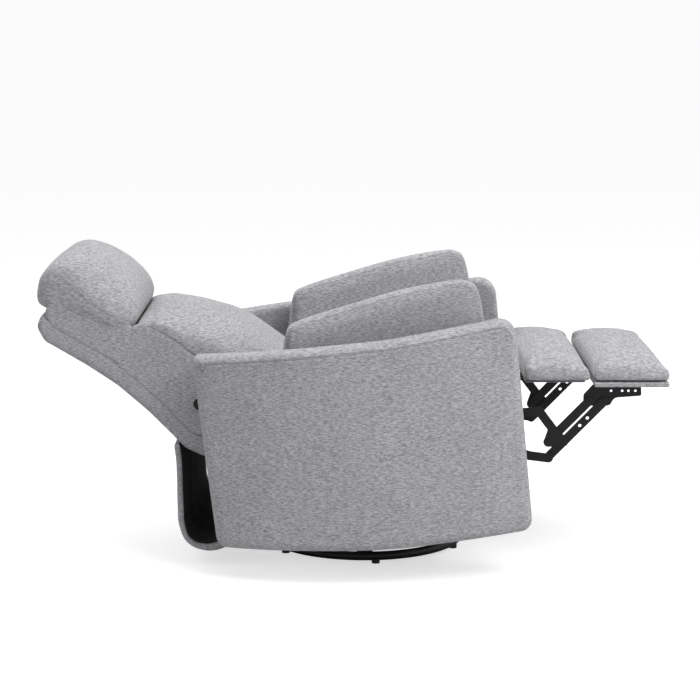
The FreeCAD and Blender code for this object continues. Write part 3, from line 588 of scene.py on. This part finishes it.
GREY = fabric("heather_grey", (0.205, 0.207, 0.218), (0.505, 0.507, 0.522))
# Near black for the flap's faces towards its hollow: partly a black lining, partly painted shade of the
# hollow.
LINING_AND_SHADE = fabric("black_lining_and_painted_shade", (0.006, 0.006, 0.007), (0.020, 0.020, 0.022), pitch=1.4, sheen=0.05)
STITCH = fabric("grey_thread", (0.16, 0.16, 0.17), (0.34, 0.34, 0.35), pitch=0.8)
BAND = fabric("elastic_band", (0.010, 0.010, 0.011), (0.035, 0.035, 0.037), pitch=1.8, sheen=0.05)
BLACK = painted("black_paint", (0.005, 0.005, 0.006), rough=0.46, wear=0.3)
ZINC = painted("dark_zinc", (0.20, 0.20, 0.21), rough=0.42, metallic=0.9)
BEARING = painted("bearing_steel", (0.55, 0.55, 0.56), rough=0.2, metallic=1.0, wear=0.1)
PLASTIC = painted("foot_plastic", (0.018, 0.018, 0.018), rough=0.6, wear=0.2)
WOOD = plywood("plywood")
FOAM = foam("cushion_foam")


def dress(obj, mat, body, stands_for=()):
    obj.data.materials.clear()
    obj.data.materials.append(mat)
    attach(obj, body)
    if stands_for:
        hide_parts(*stands_for)


# Camera at the photograph's place

CAMERA_PLACE = (-5.25, 0.036, 1.373)
CAMERA_DOWN = 9.55

camera = bpy.data.objects.new("camera", bpy.data.cameras.new("camera"))
scene.collection.objects.link(camera)
camera.location = CAMERA_PLACE
camera.rotation_euler = (math.radians(90 - CAMERA_DOWN), 0, math.radians(-90))
camera.data.sensor_width = 36.0
camera.data.lens = 108.0
camera.data.clip_end = 5000.0
scene.camera = camera


# Back: headrest, lumbar cushion, outer shell and side panels

# The wooden frame, from its foot up the rear side and down the front
CORE = [
    (286.0, 322.0, 8.0), (350.0, 308.0, 10.0), (414.0, 332.0, 40.0), (486.0, 410.0, 60.0),
    (568.0, 486.0, 80.0), (648.0, 539.0, 60.0), (750.0, 603.0, 3.0), (742.0, 611.0, 3.0),
    (596.0, 548.0, 10.0), (560.0, 568.0, 8.0), (516.0, 577.0, 10.0), (455.0, 541.0, 60.0),
    (356.0, 464.0, 60.0), (314.0, 385.0, 40.0),
]
LYING = inset(CORE, -0.6)
BACK_HINGE = (225.0, 385.0)

# The lumbar cushion's lower end rolls round the hinge of the back
ROLL_R = 84.0
ROLL_CORNER = 76.0
ROLL_ANGLES = (140.0, 176.0, 212.0)
ROLL_HALF_STEP = 18.0


def lumbar_outline():
    roll = []
    r = ROLL_R / math.cos(math.radians(ROLL_HALF_STEP))
    for angle in ROLL_ANGLES:
        a = math.radians(angle)
        roll.append((BACK_HINGE[0] + r * math.cos(a), BACK_HINGE[1] + r * math.sin(a), ROLL_CORNER))
    return [
        (548.0, 602.0, 14.0), (504.0, 607.0, 40.0), (429.0, 591.0, 120.0), (348.0, 566.0, 150.0),
        (298.0, 540.0, 100.0), (246.0, 500.0, 80.0), *roll, (190.0, 298.0, 40.0), (262.0, 304.0, 30.0),
        *reversed(LYING[10:14]), (566.0, 580.0, 8.0),
    ]


HEADREST = [
    (799.0, 660.0, 26.0), (792.0, 702.0, 34.0), (766.0, 736.0, 44.0), (724.0, 749.0, 60.0),
    (666.0, 729.0, 90.0), (605.0, 690.0, 80.0), (558.0, 648.0, 40.0), (543.0, 612.0, 20.0),
    (560.0, 575.0, 14.0), (LYING[8][0], LYING[8][1] + 1, 12.0), LYING[7], (796.0, 634.0, 14.0),
]
SHELL = [
    (345.0, 262.0, 14.0), (390.0, 267.0, 60.0), (438.0, 289.0, 40.0), (519.0, 374.0, 100.0),
    (598.0, 443.0, 100.0), (674.0, 494.0, 100.0), (774.0, 552.0, 14.0), (793.0, 588.0, 12.0),
    (778.0, 624.0, 10.0), *reversed(LYING[1:7]), (340.0, 290.0, 8.0),
]
HEAD_SIDE = [
    (772.0, 622.0, 14.0), (756.0, 660.0, 20.0), (712.0, 686.0, 30.0), (668.0, 650.0, 60.0),
    (606.0, 606.0, 60.0), (562.0, 590.0, 12.0), (560.0, 540.0, 20.0), (590.0, 492.0, 12.0),
    (674.0, 540.0, 100.0), (758.0, 588.0, 20.0),
]
LUMBAR_SIDE = [
    (602.0, 492.0, 10.0), (576.0, 545.0, 20.0), (566.0, 588.0, 12.0), (534.0, 598.0, 20.0),
    (490.0, 580.0, 60.0), (451.0, 553.0, 60.0), (400.0, 512.0, 60.0), (330.0, 440.0, 40.0),
    (300.0, 330.0, 16.0), (350.0, 306.0, 16.0), (422.0, 328.0, 40.0), (492.0, 402.0, 60.0),
]
# Seams on the sides of the two cushions, as (y, z)
HEAD_SEAM = [(722.0, 700.0), (714.0, 694.0), (674.0, 655.0), (640.0, 631.0), (603.0, 609.0), (575.0, 582.0)]
LUMBAR_SEAM = [(556.0, 592.0), (530.0, 576.0), (490.0, 548.0), (451.0, 516.0), (415.0, 482.0)]

BACK_VOXEL = 6.0
BACK_PRESSURE = 4.0
BACK_CROWN = 21.0
SWELL_ROOM = 4.0         # by which the cushions of the back start smaller than their outlines
SHELL_HALF, SHELL_EDGE = 252.0, 10.0
SIDE_X = 244.0
SIDE_SEAM_X = 0.27       # in metres, outside both cushions


def back_cushion(name, corners, half, edge, top, cap, seam, node):
    """Headrest or lumbar cushion, held where it lies on the frame, with a seam on each side."""
    shape = inset(corners, SWELL_ROOM)
    obj = tube_of_sections(name, pad_sections(shape, half, edge, BACK_CROWN, top))
    puff(obj, BACK_VOXEL, BACK_PRESSURE, cap, beside(CORE, 40.0))
    subdivide(obj)
    for side in (RIGHT, LEFT):
        path = path_on(obj, [(side * SIDE_SEAM_X, y * MM, z * MM) for y, z in seam])
        groove(obj, path, 2.4, 1.6, 0.3)
    dress(obj, GREY, "back", [node])


def back_side(name, corners, side):
    """Side panel of the back: a thin stuffed skin over the wooden side board."""
    obj = tube_of_sections(name, pad_sections(corners, 10.0, 8.0, 1.0, UP), side * SIDE_X)
    remesh(obj, 4.0)
    relax(obj, 3)
    subdivide(obj)
    dress(obj, GREY, "back")


def shell():
    sections = pad_sections(SHELL, SHELL_HALF, SHELL_EDGE, 2.0, (0.6, -0.8))
    obj = tube_of_sections("back_shell_cover", sections)
    puff(obj, BACK_VOXEL, 1.5, 4.0, beside(CORE, 30.0), frames=8)
    subdivide(obj)
    for side in (RIGHT, LEFT):
        path = path_on(obj, edge_line(SHELL, SHELL_HALF, SHELL_EDGE, 0.35, side), closed=True)
        groove(obj, path, 2.4, 1.4, 0.3)
    dress(obj, GREY, "back", ["back_shell"])


# Seat, arm pads and footrest pads

FRONT_Y, REAR_Y, FRONT_TOP, REAR_TOP = -356.0, 110.0, 487.0, 420.0
CUSHION_T, CUSHION_T_MORE = 21.5, 13.5      # thickness at the front, and what the rear has more
SEAT_HALF = 259.0


def seat_line(y, drop):
    """Height at y of the line that lies drop below the seat's top."""
    share = (y - FRONT_Y) / (REAR_Y - FRONT_Y)
    return FRONT_TOP + share * (REAR_TOP - FRONT_TOP) - drop


def under(y):
    share = (y - FRONT_Y) / (REAR_Y - FRONT_Y)
    return seat_line(y, CUSHION_T + share * CUSHION_T_MORE)


def seat_pad():
    front = FRONT_Y + 4
    outline = [
        (front, seat_line(FRONT_Y, 3), 8.0), (front, under(FRONT_Y) + 0.5, 8.0),
        (REAR_Y, under(REAR_Y) + 0.5, 12.0), (REAR_Y, seat_line(REAR_Y, 5), 12.0),
        (-120.0, seat_line(-120.0, -6), 300.0),
    ]
    obj = tube_of_sections("seat_cushion_cover", pad_sections(outline, SEAT_HALF, 9.0, 8.0, UP))
    puff(obj, 5.5, 4.0, 22.0, underside)
    subdivide(obj)
    dress(obj, GREY, "seat", ["seat_cushion"])


ARM_PAD = [
    (-292.0, 394.0, 14.0), (-283.0, 622.0, 60.0), (-266.0, 700.0, 26.0), (-232.0, 711.0, 40.0),
    (-83.0, 684.0, 200.0), (36.0, 647.0, 200.0), (132.0, 618.0, 60.0), (188.0, 600.0, 22.0),
    (204.0, 440.0, 60.0), (204.0, 352.0, 14.0),
]
ARM_PAD_X, ARM_PAD_HALF, ARM_PAD_EDGE = 301.0, 31.0, 8.0


def arm_pad(side):
    """Inner arm pad with a seam round each face. Gives the seams' paths."""
    name = SIDE_NAME[side]
    shape = inset(ARM_PAD, 1.5)
    sections = pad_sections(shape, ARM_PAD_HALF, ARM_PAD_EDGE, 2.0, UP)
    obj = tube_of_sections("arm_pad_cover_" + name, sections, side * ARM_PAD_X)
    puff(obj, 5.5, 2.0, 7.0, underside, frames=12)
    subdivide(obj)
    seams = []
    for face in (RIGHT, LEFT):
        line = edge_line(shape, ARM_PAD_HALF, ARM_PAD_EDGE, 0.35, face)
        path = path_on(obj, [(x + side * ARM_PAD_X * MM, y, z) for x, y, z in line], closed=True)
        groove(obj, path, 3.0, 2.6, 0.6)
        seams.append(path)
    dress(obj, GREY, "seat", ["arm_pad_" + name])
    return seams


FOOT_PAD = [
    (-549.0, 458.2, 9.0), (-549.0, 496.0, 14.0), (-642.0, 505.0, 400.0), (-738.0, 489.0, 14.0),
    (-738.0, 458.2, 9.0),
]
# Its lower rear corner leaves room for the front hinge, about which it folds down
MID_PAD = [
    (-384.0, 458.2, 12.0), (-377.0, 503.0, 14.0), (-460.0, 506.0, 400.0), (-545.0, 494.0, 16.0),
    (-545.0, 458.2, 8.0),
]
FOOT_PAD_HALF = 284.0
FOOT_PAD_FLOOR = 460.6


def foot_cushion(name, corners, body, node):
    shape = [(y, max(z, FOOT_PAD_FLOOR), r) for y, z, r in inset(corners, 2.0)]
    obj = tube_of_sections(name, pad_sections(shape, FOOT_PAD_HALF, 12.0, 7.0, UP))
    puff(obj, 5.0, 4.0, 12.0, underside, frames=16)
    subdivide(obj)
    dress(obj, GREY, body, [node])


# Outer arm panels: an outline in the side view, bent round two arcs in plan

TUB_HALF, WIDEST, REAR_HALF, REAR_AT, FRONT_HALF, FRONT_AT = 460.0, 30.0, 372.0, 400.0, 384.0, -400.0
TUB_T = 75.0
PANEL = [
    (-402.0, 116.0, 26.0), (-352.0, 632.0, 42.0), (-60.0, 582.0, 900.0), (412.0, 531.0, 16.0),
    (353.0, 76.0, 26.0), (-60.0, 85.0, 1500.0),
]
PANEL_RUN = 40           # steps along each straight run of the outline
ROUND_OUT, ROUND_IN = 20.0, 12.0
INNER_DEPTHS = (26.0, 36.0, 46.0, 56.0)
SHEET_RINGS = 14

# The seam lies this far in from the outline, above a line that falls from front to rear
SEAM_IN = 17.0
SEAM_FROM, SEAM_TO = -345.0, 400.0
SEAM_LOW, SEAM_LOW_AT, SEAM_FALL = 585.0, 352.0, 0.1304


def arc_radius(sag, run):
    return (sag * sag + run * run) / (2 * sag)


FRONT_R = arc_radius(TUB_HALF - FRONT_HALF, WIDEST - FRONT_AT)
REAR_R = arc_radius(TUB_HALF - REAR_HALF, REAR_AT - WIDEST)


def plan_x(y, depth):
    """Distance from the middle plane at y of the surface that lies depth inside the panel's outer face."""
    r = FRONT_R if y < WIDEST else REAR_R
    return TUB_HALF - r + math.sqrt((r - depth) ** 2 - (y - WIDEST) ** 2)


def panel_rings():
    """(depth, inset) of each ring round the panel's rim, from the outer face to the inner one."""
    rings = []
    for k in range(EDGE_STEPS, -1, -1):
        shrink, depth = rounded(90 * k / EDGE_STEPS, ROUND_OUT)
        rings.append((depth, shrink))
    rings += [(depth, 0.0) for depth in INNER_DEPTHS]
    for k in range(EDGE_STEPS + 1):
        shrink, depth = rounded(90 * k / EDGE_STEPS, ROUND_IN)
        rings.append((TUB_T - depth, shrink))
    return rings


def fill_face(verts, faces, start, side, outline, depth, bulge):
    """Fills one face of the panel with rings that shrink to its middle. start is its rim's first point."""
    pts = outline_points(outline, PANEL_RUN)
    count = len(pts)
    cy = sum(p.x for p in pts) / count
    cz = sum(p.y for p in pts) / count
    for k in range(1, SHEET_RINGS + 1):
        t = k / SHEET_RINGS
        now = len(verts)
        for p in pts:
            y = p.x + (cy - p.x) * t
            z = p.y + (cz - p.y) * t
            out = bulge * (1 - (1 - t) ** 2)
            verts.append((side * (plan_x(y, depth) + out) * MM, y * MM, z * MM))
        for i in range(count):
            j = (i + 1) % count
            faces.append((start + i, start + j, now + j, now + i))
        start = now


def arm_panel(side):
    """Outer arm panel with a seam along its top. Gives the seam's path."""
    name = SIDE_NAME[side]
    rings = panel_rings()
    verts = []
    for depth, shrink in rings:
        pts = outline_points(inset(PANEL, shrink) if shrink > 0.01 else PANEL, PANEL_RUN)
        for p in pts:
            verts.append((side * plan_x(p.x, depth) * MM, p.x * MM, p.y * MM))
    count = len(pts)
    faces = ring_faces(len(rings), count)
    fill_face(verts, faces, 0, side, inset(PANEL, ROUND_OUT), 0.0, 2.0)
    fill_face(verts, faces, (len(rings) - 1) * count, side, inset(PANEL, ROUND_IN), TUB_T, -1.5)
    obj = new_object("arm_panel_cover_" + name, verts, faces)
    mend(obj, 0.0004)
    remesh(obj, 5.0)
    relax(obj, 2)
    subdivide(obj)
    seam = [p for p in outline_points(inset(PANEL, SEAM_IN), PANEL_RUN)
            if p.y > SEAM_LOW - (p.x + SEAM_LOW_AT) * SEAM_FALL and SEAM_FROM < p.x < SEAM_TO]
    seam.sort(key=lambda p: p.x)
    path = path_on(obj, [(side * plan_x(p.x, 0.0) * MM, p.x * MM, p.y * MM) for p in seam])
    groove(obj, path, 3.4, 3.2, 0.8)
    dress(obj, GREY, "carriage", ["arm_panel_" + name])
    return [path]


# Rear flap

# Inner face of the cloth at rest, from its top end down and round to the rear cross bar, as (y, z)
FLAP = [
    (450.0, 300.0), (447.0, 262.0), (447.0, 210.0), (445.0, 140.0), (440.0, 92.0), (424.0, 63.0),
    (392.0, 52.0), (362.0, 56.0), (342.0, 65.0), (327.0, 84.0),
]
FLAP_HALF = 262.0
FLAP_T = 15.0
FLAP_COLUMNS = 70
FLAP_HEM = 16.0          # width of the grey hem beside the near-black lining, which is partly painted shade
FLAP_LEAN = 24.0         # by which the flap's middle leans towards its hollow at the left edge
FLAP_HOLLOW = Vector((0, 0.395, 0.18))


def flap_line():
    """Points of the smooth line through FLAP, in metres."""
    curve = bpy.data.curves.new("flap_line", "CURVE")
    curve.dimensions = "3D"
    spline = curve.splines.new("BEZIER")
    spline.bezier_points.add(len(FLAP) - 1)
    for point, (y, z) in zip(spline.bezier_points, FLAP):
        point.co = (0, y * MM, z * MM)
        point.handle_left_type = "AUTO"
        point.handle_right_type = "AUTO"
    spline.resolution_u = 8
    holder = bpy.data.objects.new("flap_line", curve)
    scene.collection.objects.link(holder)
    line = bpy.data.meshes.new_from_object(holder)
    pts = [v.co.copy() for v in line.vertices]
    bpy.data.objects.remove(holder)
    return pts


def flap_ring(pts, c):
    """Section of the flap at column c: down its outer face and back up its inner one."""
    n = len(pts)
    x = -FLAP_HALF + 2 * FLAP_HALF * c / FLAP_COLUMNS
    edge = min(c, FLAP_COLUMNS - c) / FLAP_COLUMNS
    puffed = FLAP_T * (0.8 + 0.2 * min(1.0, edge * 14))
    ring = []
    for outer, order in ((True, range(n)), (False, range(n - 1, -1, -1))):
        for i in order:
            a = pts[max(i - 1, 0)]
            b = pts[min(i + 1, n - 1)]
            t = Vector((0, b.y - a.y, b.z - a.z)).normalized()
            out = Vector((0, -t.z, t.y))
            s = i / (n - 1)
            slow = 2.0 * math.sin(x * 0.021 + 4 * s) * math.sin(math.pi * s)
            wave = slow + 1.2 * math.sin(x * 0.055 + 9 * s)
            fat = 1.0 + 0.4 * smooth_step(s, 0.55, 0.8)
            lean = FLAP_LEAN * (0.5 + 0.5 * x / FLAP_HALF) ** 2 * smooth_step(s, 0.0, 0.25)
            lean = lean * (1 - smooth_step(s, 0.7, 1.0))
            off = (wave + lean - (puffed * fat if outer else 0.0)) * MM
            ring.append(Vector((x * MM, pts[i].y, pts[i].z)) + out * -off)
    return ring


def flap():
    pts = flap_line()
    n = len(pts)
    m = 2 * n
    verts = [v for c in range(FLAP_COLUMNS + 1) for v in flap_ring(pts, c)]
    faces = ring_faces(FLAP_COLUMNS + 1, m)
    for c in (0, FLAP_COLUMNS):
        for i in range(n - 1):
            quad = (c * m + i, c * m + i + 1, c * m + m - 2 - i, c * m + m - 1 - i)
            faces.append(quad if c else tuple(reversed(quad)))
    obj = new_object("rear_flap_cloth", verts, faces)
    mend(obj)
    obj.data.materials.append(GREY)
    obj.data.materials.append(LINING_AND_SHADE)
    # The faces towards the hollow, inside the grey hem, take the near black: partly a black lining, partly
    # painted shade of the hollow.
    for poly in obj.data.polygons:
        towards = FLAP_HOLLOW - Vector((0, poly.center.y, poly.center.z))
        inside = poly.normal.dot(towards.normalized()) > 0.3
        if inside and abs(poly.center.x) < (FLAP_HALF - FLAP_HEM) * MM:
            poly.material_index = 1
    subdivide(obj)
    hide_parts("rear_flap")
    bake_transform(obj)


# Covered boards under the footrest pads

BOARD_HIGH = 457.4


def covered_board(name, front, rear, low, half, body, node):
    shape = [(rear, low, 4.0), (rear, BOARD_HIGH, 3.0), (front, BOARD_HIGH, 3.0), (front, low, 4.0)]
    obj = tube_of_sections(name, pad_sections(shape, half, 3.0, 0.0, UP))
    mod = obj.modifiers.new("edge", "BEVEL")
    mod.width = 0.001
    mod.segments = 2
    bake(obj)
    dress(obj, GREY, body, [node])


back_cushion("headrest", HEADREST, 260.0, 44.0, (-0.5, 0.866), 22.0, HEAD_SEAM, "headrest_cushion")
back_cushion("lumbar_cushion_cover", lumbar_outline(), 255.0, 30.0, (-0.6, 0.8), 16.0, LUMBAR_SEAM,
             "lumbar_cushion")
shell()
for side in (LEFT, RIGHT):
    back_side("headrest_side_" + SIDE_NAME[side], HEAD_SIDE, side)
    back_side("lumbar_side_" + SIDE_NAME[side], LUMBAR_SIDE, side)
seat_pad()
pad_seams = {side: arm_pad(side) for side in (LEFT, RIGHT)}
foot_cushion("footrest_pad_cover", FOOT_PAD, "footrest", "footrest_pad")
foot_cushion("middle_pad_cover", MID_PAD, "middle", "middle_pad")
panel_seams = {side: arm_panel(side) for side in (LEFT, RIGHT)}
flap()
covered_board("footrest_board_cover", -733.0, -553.0, 446.0, 283.0, "footrest", "footrest_board")
covered_board("middle_board_cover", -535.0, -388.0, 450.0, 240.0, "middle", "middle_board")


def stitch_rows(name, seams, body):
    for i, path in enumerate(seams):
        row = thread("%s_%d_0" % (name, i), path, STITCH_OFFSET)
        dress(row, STITCH, body)


for side, seams in pad_seams.items():
    stitch_rows("arm_pad_stitches_" + SIDE_NAME[side], seams, "seat")
for side, seams in panel_seams.items():
    stitch_rows("panel_stitches_" + SIDE_NAME[side], seams, "carriage")


# Materials of the pieces that keep their CAD shape. Those not named are black paint, and pins are zinc.

CAD_LOOK = {
    "base_ring": BLACK, "base_bars": BLACK, "base_feet": PLASTIC, "lower_swivel_plate": ZINC,
    "upper_swivel_plate": ZINC, "swivel_balls": BEARING, "swivel_kingpin": ZINC, "seat_webbing": BAND,
    "seat_core": FOAM, "arm_mounts": WOOD, "seat_front_rail": WOOD, "seat_rear_rail": WOOD,
    "back_side_board_left": WOOD, "back_side_board_right": WOOD, "back_slats": WOOD,
}
for name, node in nodes.items():
    if node.hide_render:
        continue
    look = CAD_LOOK.get(name, ZINC if "pin" in name else BLACK)
    node.data.materials.clear()
    node.data.materials.append(look)


# Floor, background and light

FLOOR_HALF = 3000.0      # in metres
FLOOR_COLOUR = (0.62, 0.62, 0.63, 1)
FLOOR_GLOW = 0.62        # added for the camera alone, so that the floor shows white
WORLD_LIGHT = 0.55


def floor():
    corners = [(-FLOOR_HALF, -FLOOR_HALF, 0), (FLOOR_HALF, -FLOOR_HALF, 0),
               (FLOOR_HALF, FLOOR_HALF, 0), (-FLOOR_HALF, FLOOR_HALF, 0)]
    obj = new_object("floor", corners, [(0, 1, 2, 3)], False)
    mat = bpy.data.materials.new("pale_floor")
    mat.use_nodes = True
    tree = mat.node_tree
    tree.nodes.clear()
    out = tree.nodes.new("ShaderNodeOutputMaterial")
    diffuse = tree.nodes.new("ShaderNodeBsdfDiffuse")
    diffuse.inputs["Color"].default_value = FLOOR_COLOUR
    glow = tree.nodes.new("ShaderNodeEmission")
    glow.inputs["Color"].default_value = (1, 1, 1, 1)
    glow.inputs["Strength"].default_value = FLOOR_GLOW
    path = tree.nodes.new("ShaderNodeLightPath")
    mix = tree.nodes.new("ShaderNodeMixShader")
    none = tree.nodes.new("ShaderNodeEmission")
    none.inputs["Strength"].default_value = 0.0
    tree.links.new(path.outputs["Is Camera Ray"], mix.inputs[0])
    tree.links.new(none.outputs[0], mix.inputs[1])
    tree.links.new(glow.outputs[0], mix.inputs[2])
    both = tree.nodes.new("ShaderNodeAddShader")
    tree.links.new(diffuse.outputs[0], both.inputs[0])
    tree.links.new(mix.outputs[0], both.inputs[1])
    tree.links.new(both.outputs[0], out.inputs["Surface"])
    obj.data.materials.append(mat)


def lamp(name, place, target, size, power):
    light = bpy.data.lights.new(name, "AREA")
    light.shape = "SQUARE"
    light.size = size
    light.energy = power
    obj = bpy.data.objects.new(name, light)
    scene.collection.objects.link(obj)
    obj.location = place
    obj.rotation_euler = (Vector(target) - Vector(place)).to_track_quat("-Z", "Y").to_euler()


def world():
    """Soft light all round, and plain white where the camera or a reflection sees the world."""
    w = bpy.data.worlds.new("world")
    scene.world = w
    w.use_nodes = True
    tree = w.node_tree
    tree.nodes.clear()
    out = tree.nodes.new("ShaderNodeOutputWorld")
    ambient = tree.nodes.new("ShaderNodeBackground")
    ambient.inputs["Color"].default_value = (1, 1, 1, 1)
    ambient.inputs["Strength"].default_value = WORLD_LIGHT
    white = tree.nodes.new("ShaderNodeBackground")
    white.inputs["Color"].default_value = (1, 1, 1, 1)
    white.inputs["Strength"].default_value = 1.0
    path = tree.nodes.new("ShaderNodeLightPath")
    seen = maths(tree, "MAXIMUM", path.outputs["Is Camera Ray"], path.outputs["Is Glossy Ray"])
    mix = tree.nodes.new("ShaderNodeMixShader")
    tree.links.new(seen, mix.inputs[0])
    tree.links.new(ambient.outputs[0], mix.inputs[1])
    tree.links.new(white.outputs[0], mix.inputs[2])
    tree.links.new(mix.outputs[0], out.inputs["Surface"])


# Name, place, target, width and power in watts
LAMPS = [
    ("key", (-1.8, -1.9, 3.4), (0, 0, 0.4), 2.4, 93.0),
    ("top", (0.2, -0.1, 3.6), (0, 0, 0.4), 3.0, 40.0),
    ("front", (-2.4, -3.0, 1.2), (0, -0.2, 0.4), 2.0, 16.0),
    ("fill", (-3.4, 1.4, 1.4), (0, 0, 0.4), 2.2, 5.0),
    ("back_light", (1.8, 1.6, 2.6), (0, 0, 0.5), 2.0, 30.0),
]

floor()
world()
for row in LAMPS:
    lamp(*row)
scene.view_settings.view_transform = "Standard"
